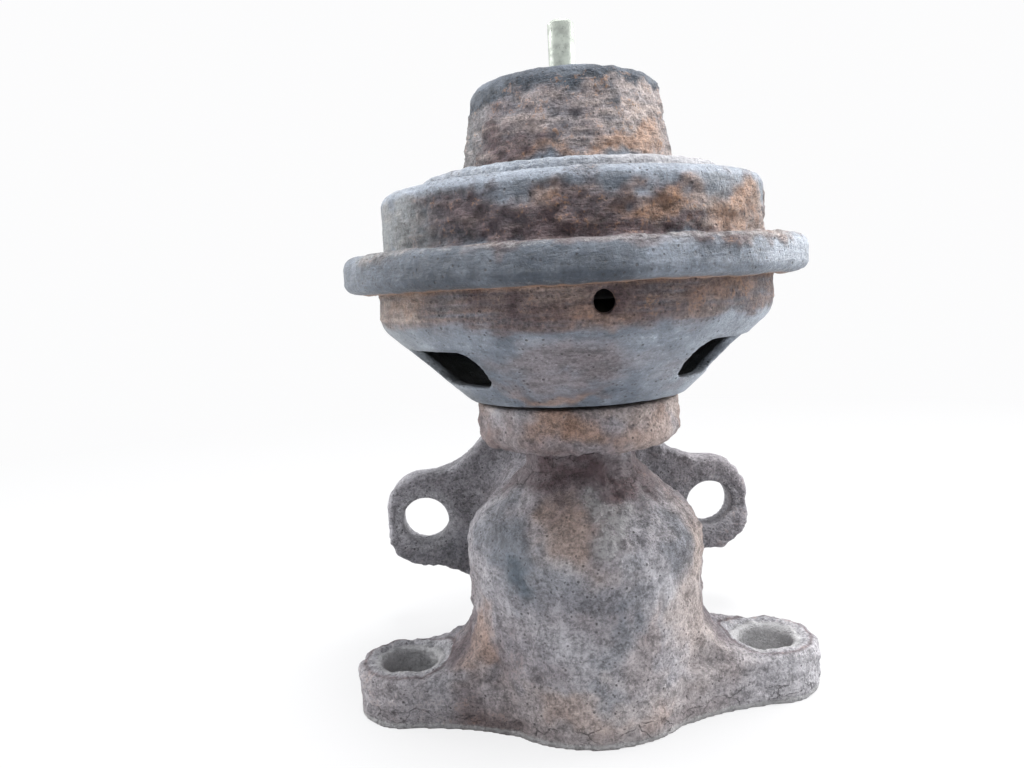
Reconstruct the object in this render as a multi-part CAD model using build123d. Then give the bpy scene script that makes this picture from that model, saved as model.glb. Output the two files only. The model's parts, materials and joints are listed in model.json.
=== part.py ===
"""Vacuum-operated exhaust gas recirculation valve, in millimetres.

A cast-iron angle body carries gas from a two-bolt base flange to a two-bolt side flange. A poppet on a
long stem closes the seat pressed into the base. Above the neck, two stamped steel housings are crimped
together over a rubber diaphragm, which vacuum at the top nipple lifts against a return spring.

The frame: +Z runs up the valve stem, +Y points out of the side flange, and the origin lies on the stem
axis in the mounting plane under the base flange. Every height below is measured from that plane.
"""

import math
import os

from build123d import *

# ---------------------------------------------------------------- bolt holes, alike in both flanges
bolt_hole_radius = 4.5
bolt_hole_chamfer = 0.5
spotface_width = 1.8
spotface_depth = 0.35
spotface_reach = 8.0

# ---------------------------------------------------------------- base flange
base_thickness = 8.0
base_bolt_pitch = 58.8
base_ear_wall = 3.9
base_centre_radius = 17.4
base_waist_radius = 42.0
base_edge_round = 1.3

# ---------------------------------------------------------------- barrel, neck and collar of the casting
barrel_foot_radius = 17.9
barrel_top_radius = 18.9
barrel_knee_height = 29.6
barrel_height = 39.0
barrel_shoulder_round = 7.0
ear_root_round = 9.0
neck_wall = 3.3
neck_length = 4.0
neck_root_round = 2.0
collar_radius = 15.9
collar_thickness = 6.7
collar_lower_round = 2.4
collar_upper_round = 0.5
spigot_wall = 2.5
spigot_height = 5.3

# ---------------------------------------------------------------- side duct and side flange
outlet_height = 23.2
outlet_radius = 10.0
duct_wall = 5.0
duct_flare = 4.9
side_face_distance = 32.5
side_flange_thickness = 6.3
side_bolt_pitch = 56.0
side_ear_reach = 7.3
side_ear_height = 18.2
side_ear_corner = 6.8
side_centre_radius = 22.3
side_waist_round = 15.0
side_foot_clearance = 2.4
side_edge_round = 1.0

# ---------------------------------------------------------------- gas chamber, seat and poppet
chamber_floor = 9.6
chamber_wall = 4.7
chamber_corner_round = 4.0
chamber_roof_rise = 0.2
seat_bore_radius = 7.4
seat_wall = 3.8
seat_depth = 6.0
seat_face_width = 1.4
seat_gap = 0.1
poppet_overlap = 1.8
poppet_lead = 1.0
poppet_rim = 1.4
poppet_neck_rise = 3.2
poppet_neck_wall = 1.0
valve_lift = 5.0

# ---------------------------------------------------------------- stem, its guide and its seal
stem_radius = 3.0
stem_step = 0.6
stem_running_clearance = 0.04
bush_wall = 2.46
bush_length = 19.0
scraper_thickness = 1.0
scraper_clearance = 0.25
deflector_reach = 4.0
deflector_thickness = 1.0
deflector_rim = 1.6
deflector_drop = 1.0
seal_thickness = 1.4
seal_clearance = 0.05
seal_side_gap = 0.3
cap_thickness = 0.8
cap_bore_clearance = 0.5

# ---------------------------------------------------------------- lower diaphragm housing and its fixing
mount_gasket_thickness = 0.6
mount_gasket_width = 6.0
retainer_width = 4.4
retainer_thickness = 1.6
lower_sheet = 1.4
lower_foot_radius = 17.0
lower_foot_round = 1.0
lower_cone_rise = 12.0
lower_knee_round = 4.0
lower_wall_height = 6.6
lower_rim_bend = 0.9
window_count = 3
window_span = 47.0
window_rise = 3.2
window_height = 5.5
window_corner = 2.5
housing_clocking = -2.0
drain_radius = 1.4
drain_rise = 2.7
drain_angle = 3.4

# ---------------------------------------------------------------- crimped rim and upper diaphragm housing
rim_radius = 35.0
upper_sheet = 1.2
upper_ledge = 6.1
lower_ledge = 4.9
rim_lip_width = 3.7
rim_side_gap = 0.6
rim_lip_drop = 0.8
rim_inner_bend = 0.6
rim_upper_round = 1.7
rim_lower_round = 1.5
upper_shoulder_height = 8.9
upper_shoulder_round = 1.7
step_setback = 6.3
step_height = 2.0
step_round = 1.0
step_foot_round = 0.5
tower_foot_radius = 16.15
tower_top_radius = 14.05
tower_height = 13.6
tower_round = 2.2

# ---------------------------------------------------------------- diaphragm and its plates
diaphragm_thickness = 1.0
diaphragm_drop = 5.2
bead_thickness = 1.5
bead_width = 3.3
bead_neck_round = 0.3
convolution_rise = 2.3
convolution_width = 5.5
convolution_gap = 0.6
convolution_round = 2.2
plate_sheet = 1.2
plate_bend = 1.0
piston_rim_height = 2.6
support_setback = 1.4
support_rim_height = 1.8
thrust_washer_width = 3.6
thrust_washer_thickness = 0.8
clamp_washer_width = 3.0
clamp_washer_thickness = 0.8
rivet_overhang = 1.5
rivet_height = 1.5

# ---------------------------------------------------------------- return spring and vacuum nipple
spring_wire = 2.0
spring_side_gap = 1.0
spring_active_turns = 4.0
spring_end_turns = 1.0
spring_end_gap = 0.15
spring_points_per_turn = 8
spring_seat_thickness = 0.8
spring_seat_setback = 0.9
spring_seat_lip = 3.0
spring_lip_clearance = 0.3
nipple_radius = 2.0
nipple_bore = 1.2
nipple_length = 9.5
nipple_inside = 1.6
nipple_foot_width = 0.8
nipple_foot_height = 0.7
nipple_tip_chamfer = 0.4

# ---------------------------------------------------------------- radii that follow from the sizes above
spotface_radius = bolt_hole_radius + spotface_width
base_ear_radius = bolt_hole_radius + base_ear_wall
side_flange_width = side_bolt_pitch + 2 * side_ear_reach
chamber_radius = (barrel_foot_radius + barrel_top_radius) / 2 - chamber_wall
inlet_radius = seat_bore_radius + seat_wall
poppet_radius = seat_bore_radius + poppet_overlap
stem_spigot_radius = stem_radius - stem_step
bush_radius = stem_radius + stem_running_clearance + bush_wall
neck_radius = bush_radius + neck_wall
spigot_radius = bush_radius + spigot_wall
deflector_radius = stem_radius + deflector_reach
mount_gasket_radius = spigot_radius + mount_gasket_width
retainer_radius = spigot_radius + retainer_width
cap_radius = spigot_radius + cap_thickness
lower_wall_radius = rim_radius - lower_ledge
upper_wall_radius = rim_radius - upper_ledge
upper_wall_inside = upper_wall_radius - upper_sheet
step_radius = upper_wall_radius - step_setback
rim_lip_radius = rim_radius - rim_lip_width
clamped_radius = rim_radius - upper_sheet - rim_side_gap
bead_inner_radius = clamped_radius - bead_width
convolution_outer = upper_wall_inside - convolution_gap
convolution_inner = convolution_outer - convolution_width
piston_radius = convolution_inner - convolution_gap
support_radius = piston_radius - support_setback
spring_mean_radius = tower_top_radius - upper_sheet - spring_side_gap - spring_wire / 2
spring_seat_radius = tower_top_radius - upper_sheet - spring_seat_setback

# ---------------------------------------------------------------- heights that follow from the sizes above
chamber_top = outlet_height + outlet_radius + chamber_roof_rise
seat_bottom = chamber_floor - seat_depth
collar_bottom = barrel_height + neck_length
collar_top = collar_bottom + collar_thickness
spigot_top = collar_top + spigot_height
bush_bottom = spigot_top - bush_length
lower_foot = collar_top + mount_gasket_thickness
retainer_bottom = lower_foot + lower_sheet
retainer_top = retainer_bottom + retainer_thickness
cap_under = spigot_top + seal_thickness
cap_top = cap_under + cap_thickness
window_bottom = lower_foot + window_rise
window_top = window_bottom + window_height
lower_wall_foot = lower_foot + lower_cone_rise
drain_height = lower_wall_foot + drain_rise
lower_rim_bottom = lower_wall_foot + lower_wall_height
lip_slope = rim_lip_drop / rim_lip_width
rim_corner = lower_rim_bottom - upper_sheet * math.hypot(1, lip_slope) + lip_slope * (rim_radius - clamped_radius)
rim_bottom = rim_corner - rim_lip_drop
lower_rim_top = lower_rim_bottom + lower_sheet
bead_top = lower_rim_top + bead_thickness
rim_top = bead_top + upper_sheet
shoulder_top = rim_top + upper_shoulder_height
step_top = shoulder_top + step_height
tower_top = step_top + tower_height
ceiling = tower_top - upper_sheet
convolution_top = bead_top + convolution_rise
diaphragm_bottom = lower_rim_top - diaphragm_drop
diaphragm_top = diaphragm_bottom + diaphragm_thickness
piston_top = diaphragm_top + plate_sheet
support_bottom = diaphragm_bottom - plate_sheet
stem_shoulder = support_bottom - thrust_washer_thickness
washer_top = piston_top + clamp_washer_thickness
spring_top = ceiling - spring_seat_thickness
poppet_bottom = chamber_floor - seat_face_width - poppet_lead + seat_gap * math.sqrt(2)
poppet_shoulder = poppet_bottom + poppet_lead + poppet_overlap
poppet_rim_top = poppet_shoulder + poppet_rim
poppet_top = poppet_rim_top + poppet_neck_rise
deflector_top = chamber_top - valve_lift - deflector_drop


# ---------------------------------------------------------------- helpers
def turned(*points):
    """A solid of revolution about Z from a closed outline of (radius, height) points."""
    return revolve(Plane.XZ * make_face(Polyline(*points, close=True)), Axis.Z)


def ring(inner, outer, bottom, top):
    """A plain ring about Z."""
    return turned((inner, bottom), (outer, bottom), (outer, top), (inner, top))


def rod(radius, bottom, top):
    """A plain cylinder on the Z axis."""
    return Pos(0, 0, bottom) * Cylinder(radius, top - bottom, align=(Align.CENTER, Align.CENTER, Align.MIN))


def unit(start, end):
    """The unit vector from one (radius, height) point to the next."""
    length = math.dist(start, end)
    return ((end[0] - start[0]) / length, (end[1] - start[1]) / length)


def sheet_section(points, bends, thickness):
    """The section of a bent sheet: its outside face follows the points, its inside lies to their right.

    Each corner has its outside bend radius in bends, and the inside bend keeps the sheet's thickness.
    """
    runs = [unit(a, b) for a, b in zip(points, points[1:])]
    inside, inside_bends = [], []
    for i, (r, z) in enumerate(points):
        before = runs[max(i - 1, 0)]
        after = runs[min(i, len(runs) - 1)]
        mitre = thickness / (1 + before[0] * after[0] + before[1] * after[1])
        inside.append((r + mitre * (before[1] + after[1]), z - mitre * (before[0] + after[0])))
        if 0 < i < len(points) - 1:
            turn = before[0] * after[1] - before[1] * after[0]
            change = -thickness if turn < 0 else thickness
            inside_bends.append(max(bends[i - 1] + change, 0.15))
    outer = FilletPolyline(*points, radius=list(bends))
    inner = FilletPolyline(*inside, radius=inside_bends)
    ends = [Line(points[0], inside[0]), Line(points[-1], inside[-1])]
    return make_face([*outer.edges(), *inner.edges(), *ends])


def bent_sheet(points, bends, thickness):
    """A spun sheet part: sheet_section turned about Z."""
    return revolve(Plane.XZ * sheet_section(points, bends, thickness), Axis.Z)


def bolt_hole(thickness):
    """The cutter for one bolt hole through a flange, its spotface on top at height 0."""
    drill = turned(
        (0, spotface_reach),
        (spotface_radius, spotface_reach),
        (spotface_radius, -spotface_depth),
        (bolt_hole_radius + bolt_hole_chamfer, -spotface_depth),
        (bolt_hole_radius, -spotface_depth - bolt_hole_chamfer),
        (bolt_hole_radius, -thickness - 1),
        (0, -thickness - 1),
    )
    return drill


def waisted_outline(centre_radius, ear_radius, pitch, waist_radius):
    """A two-ear flange outline: a centre circle and two ear circles joined by hollow tangent arcs."""
    half = pitch / 2
    to_centre = centre_radius + waist_radius
    to_ear = ear_radius + waist_radius
    x = (to_centre**2 - to_ear**2 + half**2) / (2 * half)
    y = math.sqrt(to_centre**2 - x**2)
    on_centre = (x * centre_radius / to_centre, y * centre_radius / to_centre)
    on_ear = (x + (half - x) * waist_radius / to_ear, y - y * waist_radius / to_ear)
    towards_middle = (half / 2 - x, -y)
    scale = waist_radius / math.hypot(*towards_middle)
    mid_waist = (x + towards_middle[0] * scale, y + towards_middle[1] * scale)
    edges = []
    for side in (1, -1):
        edges.append(
            ThreePointArc(
                (side * on_ear[0], -on_ear[1]), (side * (half + ear_radius), 0), (side * on_ear[0], on_ear[1])
            )
        )
        for flip in (1, -1):
            edges.append(
                ThreePointArc(
                    (side * on_centre[0], flip * on_centre[1]),
                    (side * mid_waist[0], flip * mid_waist[1]),
                    (side * on_ear[0], flip * on_ear[1]),
                )
            )
    for flip in (1, -1):
        edges.append(
            ThreePointArc(
                (-on_centre[0], flip * on_centre[1]), (0, flip * centre_radius), (on_centre[0], flip * on_centre[1])
            )
        )
    return make_face(edges)


# ---------------------------------------------------------------- the casting
def base_outline():
    return waisted_outline(base_centre_radius, base_ear_radius, base_bolt_pitch, base_waist_radius)


def base_ear_places():
    return [Pos(side * base_bolt_pitch / 2, 0, base_thickness) for side in (-1, 1)]


def side_outline():
    """The side flange seen along its face: rounded ears either side of a round centre, flat at the foot."""
    ears = RectangleRounded(side_flange_width, side_ear_height, side_ear_corner)
    outline = ears + Circle(side_centre_radius)
    waists = [v for v in outline.vertices() if abs(math.hypot(v.X, v.Y) - side_centre_radius) < 0.01]
    outline = fillet(waists, side_waist_round)
    foot = side_foot_clearance - outlet_height
    keep = Pos(0, foot + side_centre_radius) * Rectangle(2 * side_flange_width, 2 * side_centre_radius)
    return outline & keep


def side_frame(distance):
    """The plane square to the duct at a distance from the stem, with X kept and the flange's up along Z."""
    return Plane(origin=(0, distance, outlet_height), x_dir=(-1, 0, 0), z_dir=(0, 1, 0))


def base_plate():
    plate = extrude(base_outline(), base_thickness)
    rim = plate.edges().filter_by_position(Axis.Z, base_thickness - 0.01, base_thickness + 0.01)
    return fillet(rim, base_edge_round)


def barrel_radius(height):
    """The barrel's outside radius at a height on its tapered side."""
    return barrel_foot_radius + (barrel_top_radius - barrel_foot_radius) * height / barrel_knee_height


def ear_roots():
    """The hollow-rounded feet where the barrel runs out onto the two base ears."""
    root_top = base_thickness + ear_root_round
    outer = barrel_radius(base_thickness) + ear_root_round
    inner = chamber_radius + 1
    section = make_face(
        [
            Line((inner, base_thickness - 1), (outer, base_thickness - 1)),
            Line((outer, base_thickness - 1), (outer, base_thickness)),
            RadiusArc((outer, base_thickness), (barrel_radius(root_top), root_top), ear_root_round),
            Line((barrel_radius(root_top), root_top), (inner, root_top)),
            Line((inner, root_top), (inner, base_thickness - 1)),
        ]
    )
    foot = revolve(Plane.XZ * section, Axis.Z)
    inset = offset(base_outline(), -base_edge_round)
    return foot & extrude(inset, base_thickness + 2 * ear_root_round)


def barrel():
    outline = Polyline(
        (0, 0),
        (barrel_foot_radius, 0),
        (barrel_top_radius, barrel_knee_height),
        (neck_radius, barrel_height),
        (neck_radius, collar_bottom),
        (collar_radius, collar_bottom),
        (collar_radius, collar_top),
        (spigot_radius, collar_top),
        (spigot_radius, spigot_top),
        (0, spigot_top),
        close=True,
    )
    face = make_face(outline)
    rounds = (
        (barrel_top_radius, barrel_knee_height, barrel_shoulder_round),
        (neck_radius, barrel_height, neck_root_round),
        (neck_radius, collar_bottom, neck_root_round),
        (collar_radius, collar_bottom, collar_lower_round),
        (collar_radius, collar_top, collar_upper_round),
    )
    for r, z, size in rounds:
        corner = [v for v in face.vertices() if math.dist((v.X, v.Y), (r, z)) < 0.01]
        face = fillet(corner, size)
    return revolve(Plane.XZ * face, Axis.Z)


def duct():
    """The side duct with a hollow flare onto the back of its flange."""
    outer = outlet_radius + duct_wall
    back = side_face_distance - side_flange_thickness
    half = make_face(
        [
            Line((0, 0), (outer, 0)),
            Line((outer, 0), (outer, back - duct_flare)),
            RadiusArc((outer, back - duct_flare), (outer + duct_flare, back), duct_flare),
            Line((outer + duct_flare, back), (outer + duct_flare, back + 1)),
            Line((outer + duct_flare, back + 1), (0, back + 1)),
            Line((0, back + 1), (0, 0)),
        ]
    )
    return Pos(0, 0, outlet_height) * Rot(-90, 0, 0) * revolve(Plane.XZ * half, Axis.Z)


def side_plate():
    back = side_face_distance - side_flange_thickness
    plate = extrude(side_frame(back) * side_outline(), side_flange_thickness)
    rim = plate.edges().filter_by_position(Axis.Y, back - 0.01, back + 0.01)
    return fillet(rim, side_edge_round)


def gas_passage():
    """Everything that gas flows through, as one cutter: inlet, chamber and side duct."""
    inlet = rod(inlet_radius, 0 - 1, chamber_floor + 1)
    chamber = rod(chamber_radius, chamber_floor, chamber_top)
    chamber = fillet(chamber.edges().sort_by(Axis.Z)[-1], chamber_corner_round)
    bore = Cylinder(outlet_radius, side_face_distance + 1, align=(Align.CENTER, Align.CENTER, Align.MIN))
    return inlet + chamber + Pos(0, 0, outlet_height) * Rot(-90, 0, 0) * bore


def body_casting():
    solid = barrel() + base_plate() + ear_roots() + duct() + side_plate()
    solid -= gas_passage()
    solid -= rod(bush_radius, chamber_top - 1, spigot_top + 1)
    for place in base_ear_places():
        solid -= place * bolt_hole(base_thickness)
    back = side_face_distance - side_flange_thickness
    for side in (-1, 1):
        facing = Pos(side * side_bolt_pitch / 2, back, outlet_height) * Rot(90, 0, 0)
        solid -= facing * bolt_hole(side_flange_thickness)
    return solid


def seat_ring():
    return turned(
        (seat_bore_radius, seat_bottom),
        (inlet_radius, seat_bottom),
        (inlet_radius, chamber_floor),
        (seat_bore_radius + seat_face_width, chamber_floor),
        (seat_bore_radius, chamber_floor - seat_face_width),
    )


# ---------------------------------------------------------------- poppet, stem and guide
def poppet():
    return turned(
        (stem_spigot_radius, poppet_bottom),
        (poppet_radius - poppet_overlap - poppet_lead, poppet_bottom),
        (poppet_radius, poppet_shoulder),
        (poppet_radius, poppet_rim_top),
        (stem_radius + poppet_neck_wall, poppet_top),
        (stem_spigot_radius, poppet_top),
    )


def valve_stem():
    """The stem, shouldered for the poppet below and the plates above, with its upper end peened over."""
    return turned(
        (0, poppet_bottom),
        (stem_spigot_radius, poppet_bottom),
        (stem_spigot_radius, poppet_top),
        (stem_radius, poppet_top),
        (stem_radius, stem_shoulder),
        (stem_spigot_radius, stem_shoulder),
        (stem_spigot_radius, washer_top),
        (stem_spigot_radius + rivet_overhang, washer_top),
        (stem_spigot_radius + 0.7 * rivet_overhang, washer_top + 0.7 * rivet_height),
        (stem_spigot_radius - rivet_overhang / 2, washer_top + rivet_height),
        (0, washer_top + rivet_height),
    )


def stem_deflector():
    """The drip cup on the stem that keeps gas and soot off the guide bush."""
    return bent_sheet(
        [
            (stem_radius, deflector_top),
            (deflector_radius, deflector_top),
            (deflector_radius, deflector_top - deflector_rim - deflector_thickness),
        ],
        [deflector_thickness + 0.3],
        deflector_thickness,
    )


def stem_bush():
    return ring(stem_radius + stem_running_clearance, bush_radius, bush_bottom, spigot_top)


def stem_scraper():
    return ring(stem_radius + scraper_clearance, bush_radius, bush_bottom - scraper_thickness, bush_bottom)


def stem_seal():
    return ring(stem_radius + seal_clearance, spigot_radius - seal_side_gap, spigot_top, cap_under)


def seal_cap():
    """The drawn cap pressed over the spigot, which holds the stem seal down."""
    return bent_sheet(
        [
            (stem_radius + cap_bore_clearance, cap_top),
            (cap_radius, cap_top),
            (cap_radius, retainer_top),
        ],
        [cap_thickness + 0.15],
        cap_thickness,
    )


# ---------------------------------------------------------------- lower housing and its fixing
def housing_gasket():
    return ring(spigot_radius, mount_gasket_radius, collar_top, lower_foot)


def housing_retainer():
    return ring(spigot_radius, retainer_radius, retainer_bottom, retainer_top)


def window_cutter():
    """One vent window: a wedge between two heights with rounded corners, facing -Y."""
    middle = ((cap_radius + rim_radius) / 2, (window_bottom + window_top) / 2)
    section = Pos(*middle) * Rectangle(rim_radius - cap_radius, window_height)
    block = revolve(Plane.XZ * section, Axis.Z, window_span)
    radial = [e for e in block.edges().filter_by(GeomType.LINE) if abs(e.tangent_at(0).Z) < 0.01]
    block = fillet(radial, window_corner)
    return Rot(0, 0, -90 - window_span / 2) * block


def lower_housing():
    shell = bent_sheet(
        [
            (spigot_radius, lower_foot),
            (lower_foot_radius, lower_foot),
            (lower_wall_radius, lower_wall_foot),
            (lower_wall_radius, lower_rim_bottom),
            (clamped_radius, lower_rim_bottom),
        ],
        [lower_foot_round, lower_knee_round, lower_rim_bend],
        -lower_sheet,
    )
    for i in range(window_count):
        angle = housing_clocking + (i + 0.5) * 360 / window_count
        shell -= Rot(0, 0, angle) * window_cutter()
    drill = Cylinder(drain_radius, lower_wall_radius + 1, align=(Align.CENTER, Align.CENTER, Align.MIN))
    shell -= Pos(0, 0, drain_height) * Rot(0, 0, housing_clocking + drain_angle) * Rot(90, 0, 0) * drill
    return shell


# ---------------------------------------------------------------- upper housing, nipple and spring
def upper_housing():
    """The spring tower, step, shoulder and rim, spun from one sheet and crimped round the lower rim."""
    return bent_sheet(
        [
            (nipple_radius, tower_top),
            (tower_top_radius, tower_top),
            (tower_foot_radius, step_top),
            (step_radius, step_top),
            (step_radius, shoulder_top),
            (upper_wall_radius, shoulder_top),
            (upper_wall_radius, rim_top),
            (rim_radius, rim_top),
            (rim_radius, rim_corner),
            (rim_lip_radius, rim_bottom),
        ],
        [
            tower_round,
            step_round,
            step_round,
            step_foot_round,
            upper_shoulder_round,
            rim_inner_bend,
            rim_upper_round,
            rim_lower_round,
        ],
        upper_sheet,
    )


def vacuum_nipple():
    return turned(
        (nipple_bore, ceiling - nipple_inside),
        (nipple_radius, ceiling - nipple_inside),
        (nipple_radius, tower_top),
        (nipple_radius + nipple_foot_width, tower_top),
        (nipple_radius, tower_top + nipple_foot_height),
        (nipple_radius, tower_top + nipple_length - nipple_tip_chamfer),
        (nipple_radius - nipple_tip_chamfer, tower_top + nipple_length),
        (nipple_bore, tower_top + nipple_length),
    )


def spring_seat():
    """The pressed ring that centres the spring's upper end under the tower's roof."""
    lip = spring_mean_radius - spring_wire / 2 - spring_lip_clearance
    return bent_sheet(
        [
            (lip - spring_seat_thickness, spring_top - spring_seat_lip),
            (lip - spring_seat_thickness, ceiling),
            (spring_seat_radius, ceiling),
        ],
        [spring_seat_thickness + 0.2],
        spring_seat_thickness,
    )


def return_spring():
    """A compression spring with a closed turn at each end, ground flat on its end faces."""
    closed_pitch = spring_wire + spring_end_gap
    start = piston_top + spring_wire / 4
    end = spring_top - spring_wire / 4
    open_height = end - start - 2 * spring_end_turns * closed_pitch
    turns = spring_active_turns + 2 * spring_end_turns
    steps = round(turns * spring_points_per_turn)
    points = []
    for i in range(steps + 1):
        turn = turns * i / steps
        below = min(turn, spring_end_turns) * closed_pitch
        above = max(turn - spring_end_turns - spring_active_turns, 0) * closed_pitch
        middle = min(max(turn - spring_end_turns, 0), spring_active_turns) * open_height / spring_active_turns
        angle = 2 * math.pi * turn
        points.append(
            (spring_mean_radius * math.cos(angle), spring_mean_radius * math.sin(angle), start + below + middle + above)
        )
    path = Spline(*points)
    section = Plane(origin=path @ 0, z_dir=path % 0) * Circle(spring_wire / 2)
    coil = sweep(section, path=path, is_frenet=True)
    ground = rod(spring_mean_radius + 2 * spring_wire, piston_top, spring_top)
    return coil & ground


# ---------------------------------------------------------------- diaphragm and its plates
def diaphragm():
    """The moulded rubber: a clamped bead, one rolled convolution and a flat centre between the plates."""
    lean = convolution_width / 5
    sheet_height = lower_rim_top + (bead_thickness + diaphragm_thickness) / 2
    membrane = bent_sheet(
        [
            (stem_spigot_radius, diaphragm_top),
            (convolution_inner, diaphragm_top),
            (convolution_inner + lean, convolution_top),
            (convolution_outer - lean, convolution_top),
            (convolution_outer, sheet_height),
            (bead_inner_radius + diaphragm_thickness, sheet_height),
        ],
        [plate_bend, convolution_round, convolution_round, bead_neck_round],
        diaphragm_thickness,
    )
    return membrane + ring(bead_inner_radius, clamped_radius, lower_rim_top, bead_top)


def piston_plate():
    """The dished upper plate that carries the spring."""
    rim = piston_top + piston_rim_height
    return bent_sheet(
        [(piston_radius, rim), (piston_radius, diaphragm_top), (stem_spigot_radius, diaphragm_top)],
        [plate_sheet + plate_bend],
        plate_sheet,
    )


def support_plate():
    """The dished lower plate, its rim turned down away from the rubber."""
    rim = support_bottom - support_rim_height
    return bent_sheet(
        [(stem_spigot_radius, diaphragm_bottom), (support_radius, diaphragm_bottom), (support_radius, rim)],
        [plate_sheet + plate_bend],
        plate_sheet,
    )


def thrust_washer():
    return ring(stem_spigot_radius, stem_spigot_radius + thrust_washer_width, stem_shoulder, support_bottom)


def clamp_washer():
    return ring(stem_spigot_radius, stem_spigot_radius + clamp_washer_width, piston_top, washer_top)


if __name__ == "__main__":
    os.makedirs("parts", exist_ok=True)
    nodes = {
        "body_casting": body_casting(),
        "seat_ring": seat_ring(),
        "valve_head": poppet(),
        "valve_stem": valve_stem(),
        "stem_deflector": stem_deflector(),
        "stem_bush": stem_bush(),
        "stem_scraper": stem_scraper(),
        "stem_seal": stem_seal(),
        "seal_cap": seal_cap(),
        "housing_gasket": housing_gasket(),
        "housing_retainer": housing_retainer(),
        "lower_housing": lower_housing(),
        "upper_housing": upper_housing(),
        "vacuum_nipple": vacuum_nipple(),
        "spring_seat": spring_seat(),
        "return_spring": return_spring(),
        "diaphragm": diaphragm(),
        "piston_plate": piston_plate(),
        "support_plate": support_plate(),
        "thrust_washer": thrust_washer(),
        "clamp_washer": clamp_washer(),
    }
    for name, shape in nodes.items():
        export_step(shape, f"parts/{name}.step")
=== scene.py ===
"""The weathered look of a vacuum-operated EGR valve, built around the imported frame. Lengths in metres."""

import json
import math

import bmesh
import bpy
import numpy as np
from mathutils import Matrix, Vector


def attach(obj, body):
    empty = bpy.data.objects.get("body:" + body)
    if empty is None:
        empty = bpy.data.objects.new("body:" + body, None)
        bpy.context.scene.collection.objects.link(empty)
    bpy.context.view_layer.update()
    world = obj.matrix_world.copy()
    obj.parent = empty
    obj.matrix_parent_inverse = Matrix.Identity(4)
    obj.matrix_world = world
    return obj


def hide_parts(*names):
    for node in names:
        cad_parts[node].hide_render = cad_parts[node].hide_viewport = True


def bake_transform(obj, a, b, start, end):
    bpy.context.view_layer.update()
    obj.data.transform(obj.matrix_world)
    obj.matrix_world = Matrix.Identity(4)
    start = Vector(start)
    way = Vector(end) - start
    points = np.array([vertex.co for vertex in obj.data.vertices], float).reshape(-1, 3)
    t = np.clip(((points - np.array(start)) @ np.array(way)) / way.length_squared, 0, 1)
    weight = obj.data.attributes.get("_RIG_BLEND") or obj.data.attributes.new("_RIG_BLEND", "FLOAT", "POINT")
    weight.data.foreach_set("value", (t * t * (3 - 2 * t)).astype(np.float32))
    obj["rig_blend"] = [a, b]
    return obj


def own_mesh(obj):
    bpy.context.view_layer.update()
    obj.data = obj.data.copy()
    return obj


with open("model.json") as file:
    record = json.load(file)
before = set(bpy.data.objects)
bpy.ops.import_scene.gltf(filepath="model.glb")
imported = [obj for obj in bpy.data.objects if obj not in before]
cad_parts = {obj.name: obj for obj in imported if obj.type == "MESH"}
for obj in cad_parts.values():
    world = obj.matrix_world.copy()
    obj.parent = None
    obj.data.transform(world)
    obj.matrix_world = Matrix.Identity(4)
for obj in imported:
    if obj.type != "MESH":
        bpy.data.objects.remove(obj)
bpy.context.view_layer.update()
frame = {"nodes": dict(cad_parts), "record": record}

MM = 0.001
HOUSING, STEM = "valve_housing", "stem_assembly"

# The camera of the view, in the frame: where it stands, its turn, pitch and roll in degrees, and its lens.
CAMERA_PLACE = (-13.26 * MM, -127.08 * MM, 66.53 * MM)
CAMERA_AZIMUTH = 1.333
CAMERA_PITCH = 6.444
CAMERA_ROLL = -3.139
CAMERA_SENSOR = 36.0
CAMERA_LENS = 28.24
CAMERA_CLIP = 0.005


# ---------------------------------------------------------------- repeatable noise at points in millimetres
def cell_random(cells, seed):
    """A repeatable number from 0 to 1 for each row of whole-numbered cells."""
    mask = np.int64(0xFFFFFFFF)
    mixed = cells[:, 0] * 374761393 + cells[:, 1] * 668265263 + cells[:, 2] * 1442695041 + seed * 1274126177
    mixed = mixed & mask
    mixed = ((mixed ^ (mixed >> 13)) * 1103515245) & mask
    mixed = ((mixed ^ (mixed >> 15)) * 12820163) & mask
    return ((mixed ^ (mixed >> 16)) & 0xFFFF) / 65535.0


def value_noise(points, size, seed):
    """Smooth noise from 0 to 1 whose blobs are about size across; size may be one number or one per axis."""
    scaled = points / np.asarray(size, float)
    corner = np.floor(scaled).astype(np.int64)
    part = scaled - corner
    part = part * part * (3 - 2 * part)
    total = np.zeros(len(points))
    for dx in (0, 1):
        for dy in (0, 1):
            for dz in (0, 1):
                weight = np.ones(len(points))
                for axis, step in enumerate((dx, dy, dz)):
                    weight *= part[:, axis] if step else 1 - part[:, axis]
                total += weight * cell_random(corner + np.array((dx, dy, dz)), seed)
    return total


def fractal(points, size, seed, octaves=4, gain=0.55):
    """Layers of value noise, each half the size of the one before, scaled back to 0 to 1."""
    total, weight, norm = np.zeros(len(points)), 1.0, 0.0
    for layer in range(octaves):
        total += weight * value_noise(points, np.asarray(size, float) / 2**layer, seed + 17 * layer)
        norm += weight
        weight *= gain
    return total / norm


def pits(points, spacing, radius, share, seed):
    """Round pits from 0 to 1 deep, one in a share of the cells of a lattice."""
    scaled = points / spacing
    corner = np.floor(scaled).astype(np.int64)
    depth = np.zeros(len(points))
    for dx in (-1, 0, 1):
        for dy in (-1, 0, 1):
            for dz in (-1, 0, 1):
                cell = corner + np.array((dx, dy, dz))
                centre = cell + np.stack([cell_random(cell, seed + k) for k in (1, 2, 3)], 1)
                size = radius / spacing * (0.5 + cell_random(cell, seed + 4))
                away = np.linalg.norm(scaled - centre, axis=1) / size
                here = cell_random(cell, seed + 5) < share
                depth = np.maximum(depth, np.where(here, np.clip(1 - away**2, 0, 1), 0))
    return depth


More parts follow.
